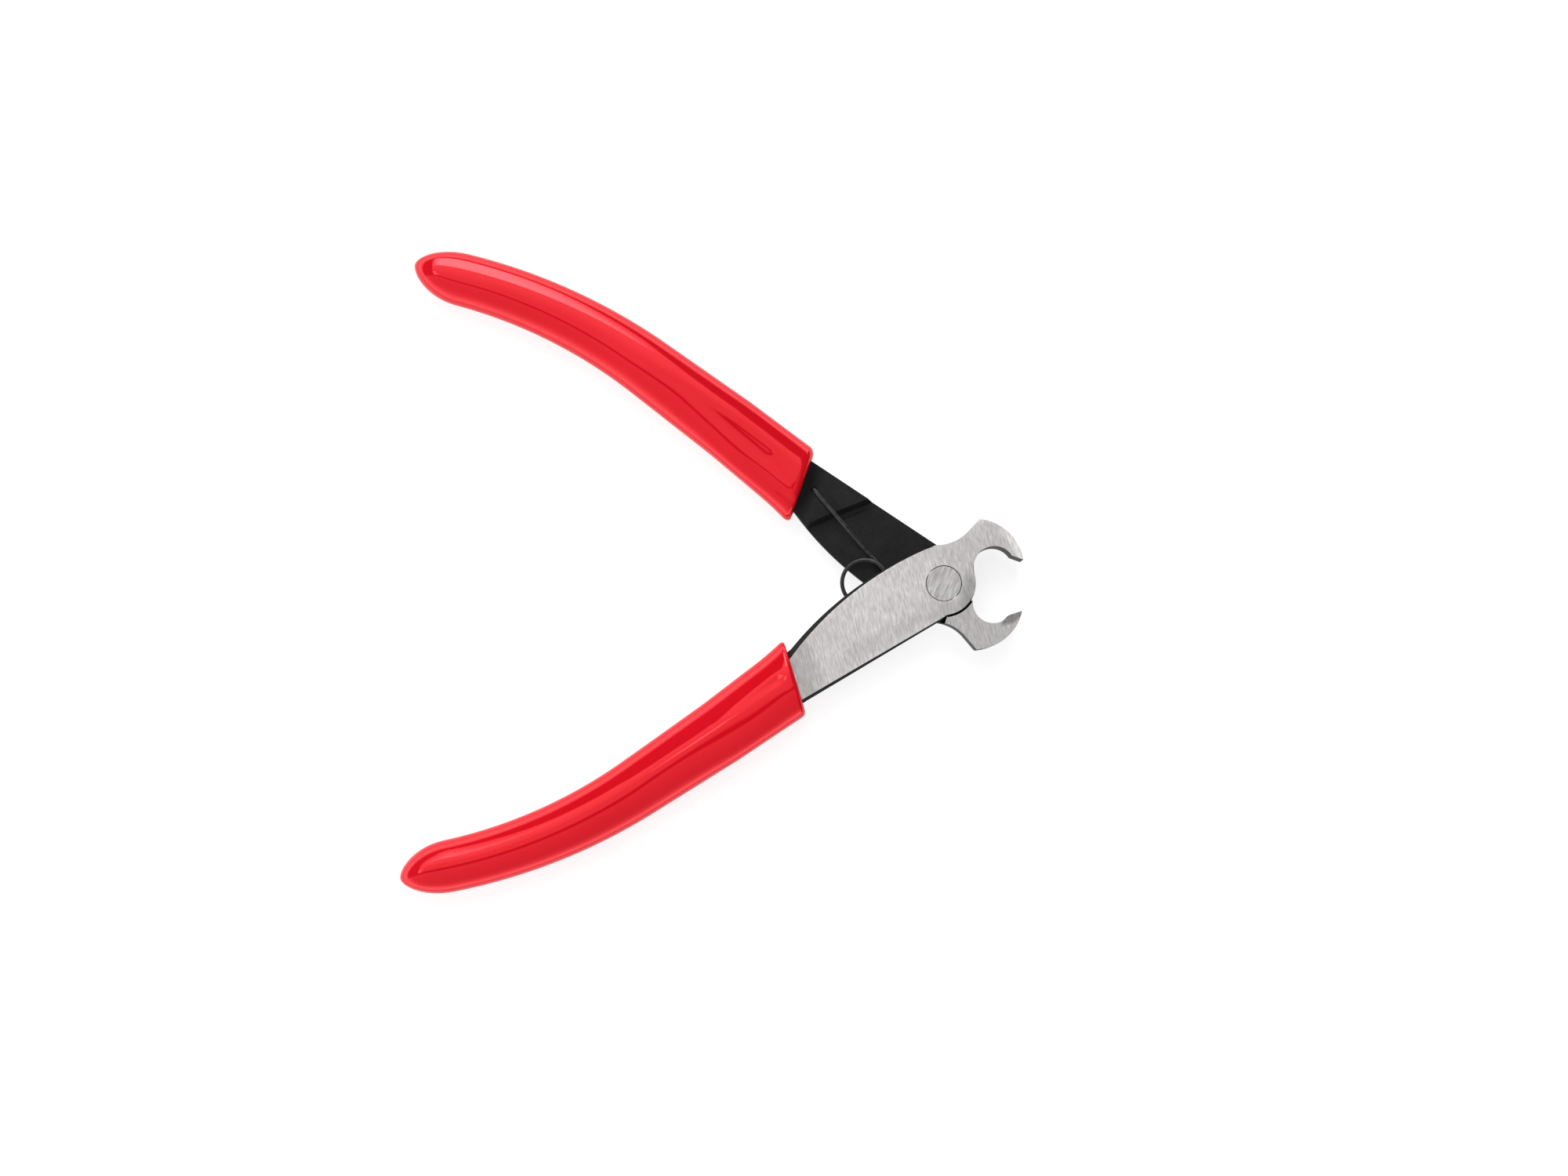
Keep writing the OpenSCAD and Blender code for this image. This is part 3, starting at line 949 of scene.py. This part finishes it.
def add_wire(name, path, body, material):
    """Sweeps the wire's round section along a path. Where it stands upright it keeps its turn."""
    points = [Vector(p) for p in path]
    up = Vector((0, 0, 1))
    side = Vector((1, 0, 0))
    rings = []
    for i, point in enumerate(points):
        run = (points[min(i + 1, len(points) - 1)] - points[max(i - 1, 0)]).normalized()
        across = run.cross(up)
        if across.length > UPRIGHT:
            side = across.normalized()
        top = side.cross(run).normalized()
        turns = [360 * k / WIRE_SIDES for k in range(WIRE_SIDES)]
        rings.append([point + WIRE_D / 2 * (cosd(a) * side + sind(a) * top) for a in turns])
    bm = bmesh.new()
    skin(bm, rings)
    return add_piece(name, bm, [material], body, ["return_spring"])


def add_leg(name, path, material):
    """A leg of the spring between the coil and its hole, swept along its path and left on no body.
    """
    piece = add_wire(name, path, None, material)
    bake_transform(piece)


add_camera()
add_studio()
add_floor()
add_fill_lamp()

# Where the front half is drawn darker: beside the rivet, along the lower edge, in the upper jaw, and
# next to the grip's mouth as painted shade. The jaws' tips are drawn as bevelled facets, one lighter
# with a painted highlight, one darker with painted shade.
front_tone_and_painted_light = [
    Oval((6.2, -1.8), (2.4, 4.4), tone=0.60),
    Oval((2.6, -6.3), (4.6, 2.0), tone=0.78, turn=20.0),
    Oval((-13.0, -13.0), (15.0, 2.2), tone=0.87, turn=33.0),
    # Painted shade next to the grip's mouth
    Oval((-33.2, -21.5), (3.5, 9.0), tone=0.78, turn=17.0),
    Oval((7.0, 8.5), (8.5, 6.0), tone=0.87),
    # Painted highlight: the upper jaw's tip drawn lighter, as if a bevelled facet faced the light
    Facet([(14.0, 12.7), (16.0, 8.7), (17.9, 6.3)], tone=1.25, soft=0.25),
]
# Painted shade: the lower jaw's tip drawn darker, as if a bevelled facet turned away from the light
rear_tip = [(13.9, -7.0), (14.1, -9.75), (17.1, -8.9), (18.8, -7.2)]
rear_tip_painted_shade = [Facet(rear_tip, tone=0.5, soft=0.8)]
# The two forgings are ground alike, and the rivet more coarsely and at another angle
forging_grind = {"angle": 103.0, "rough": 0.48, "line_size": 0.85, "contrast": 1.1}
rivet_grind = {"angle": 66.0, "rough": 0.46, "line_size": 1.2, "contrast": 1.5}
front_ground = ground_steel("brushed_front", level=0.745, tone_and_painted_light=front_tone_and_painted_light, **forging_grind)
rear_ground = ground_steel("brushed_rear", level=0.58, tone_and_painted_light=rear_tip_painted_shade, **forging_grind)
rivet_ground = ground_steel("brushed_rivet", level=0.615, **rivet_grind)
black = black_steel()
wire = wire_steel()
vinyl = red_vinyl()

add_forging("front_forging", "front_half", "front_lever", [front_ground, black])
add_forging("rear_forging", "rear_half", "rear_lever", [rear_ground, black])
add_rivet(rivet_ground)

front_grooves = [
    Groove((45.5, 2.7), (62.0, 2.6), half_w=1.1, depth=0.20),
    Groove((45.5, 2.7), (43.6, -1.0), half_w=0.8, depth=0.14),
]
rear_grooves = [
    Groove((52.0, 0.6), (80.0, -0.6), half_w=1.3, depth=0.34),
    Groove((52.0, 0.6), (42.5, 3.2), half_w=1.0, depth=0.34),
    Groove((41.5, 5.6), (57.0, 4.8), half_w=0.8, depth=0.5),
]
front_start = GRIP_START + GRIP_SHIFT
front_dip = Dip(front_start, lip=(1.1, 1.2), pressed=(2.0, 3.0), grooves=front_grooves)
rear_dip = Dip(GRIP_START, lip=(1.6, 1.9), pressed=(3.0, 2.8), grooves=rear_grooves)
front_rings = grip_rings(front_dip)
rear_rings = [turned_over(ring) for ring in grip_rings(rear_dip)]
add_grip("front_dip", front_rings, "front_lever", "front_grip", vinyl)
add_grip("rear_dip", rear_rings, "rear_lever", "rear_grip", vinyl)

add_wire("spring_coil", coil_path(), "spring", wire)
add_leg("spring_rear_leg", rear_leg_path(), wire)
add_leg("spring_front_leg", turned_over(rear_leg_path()), wire)
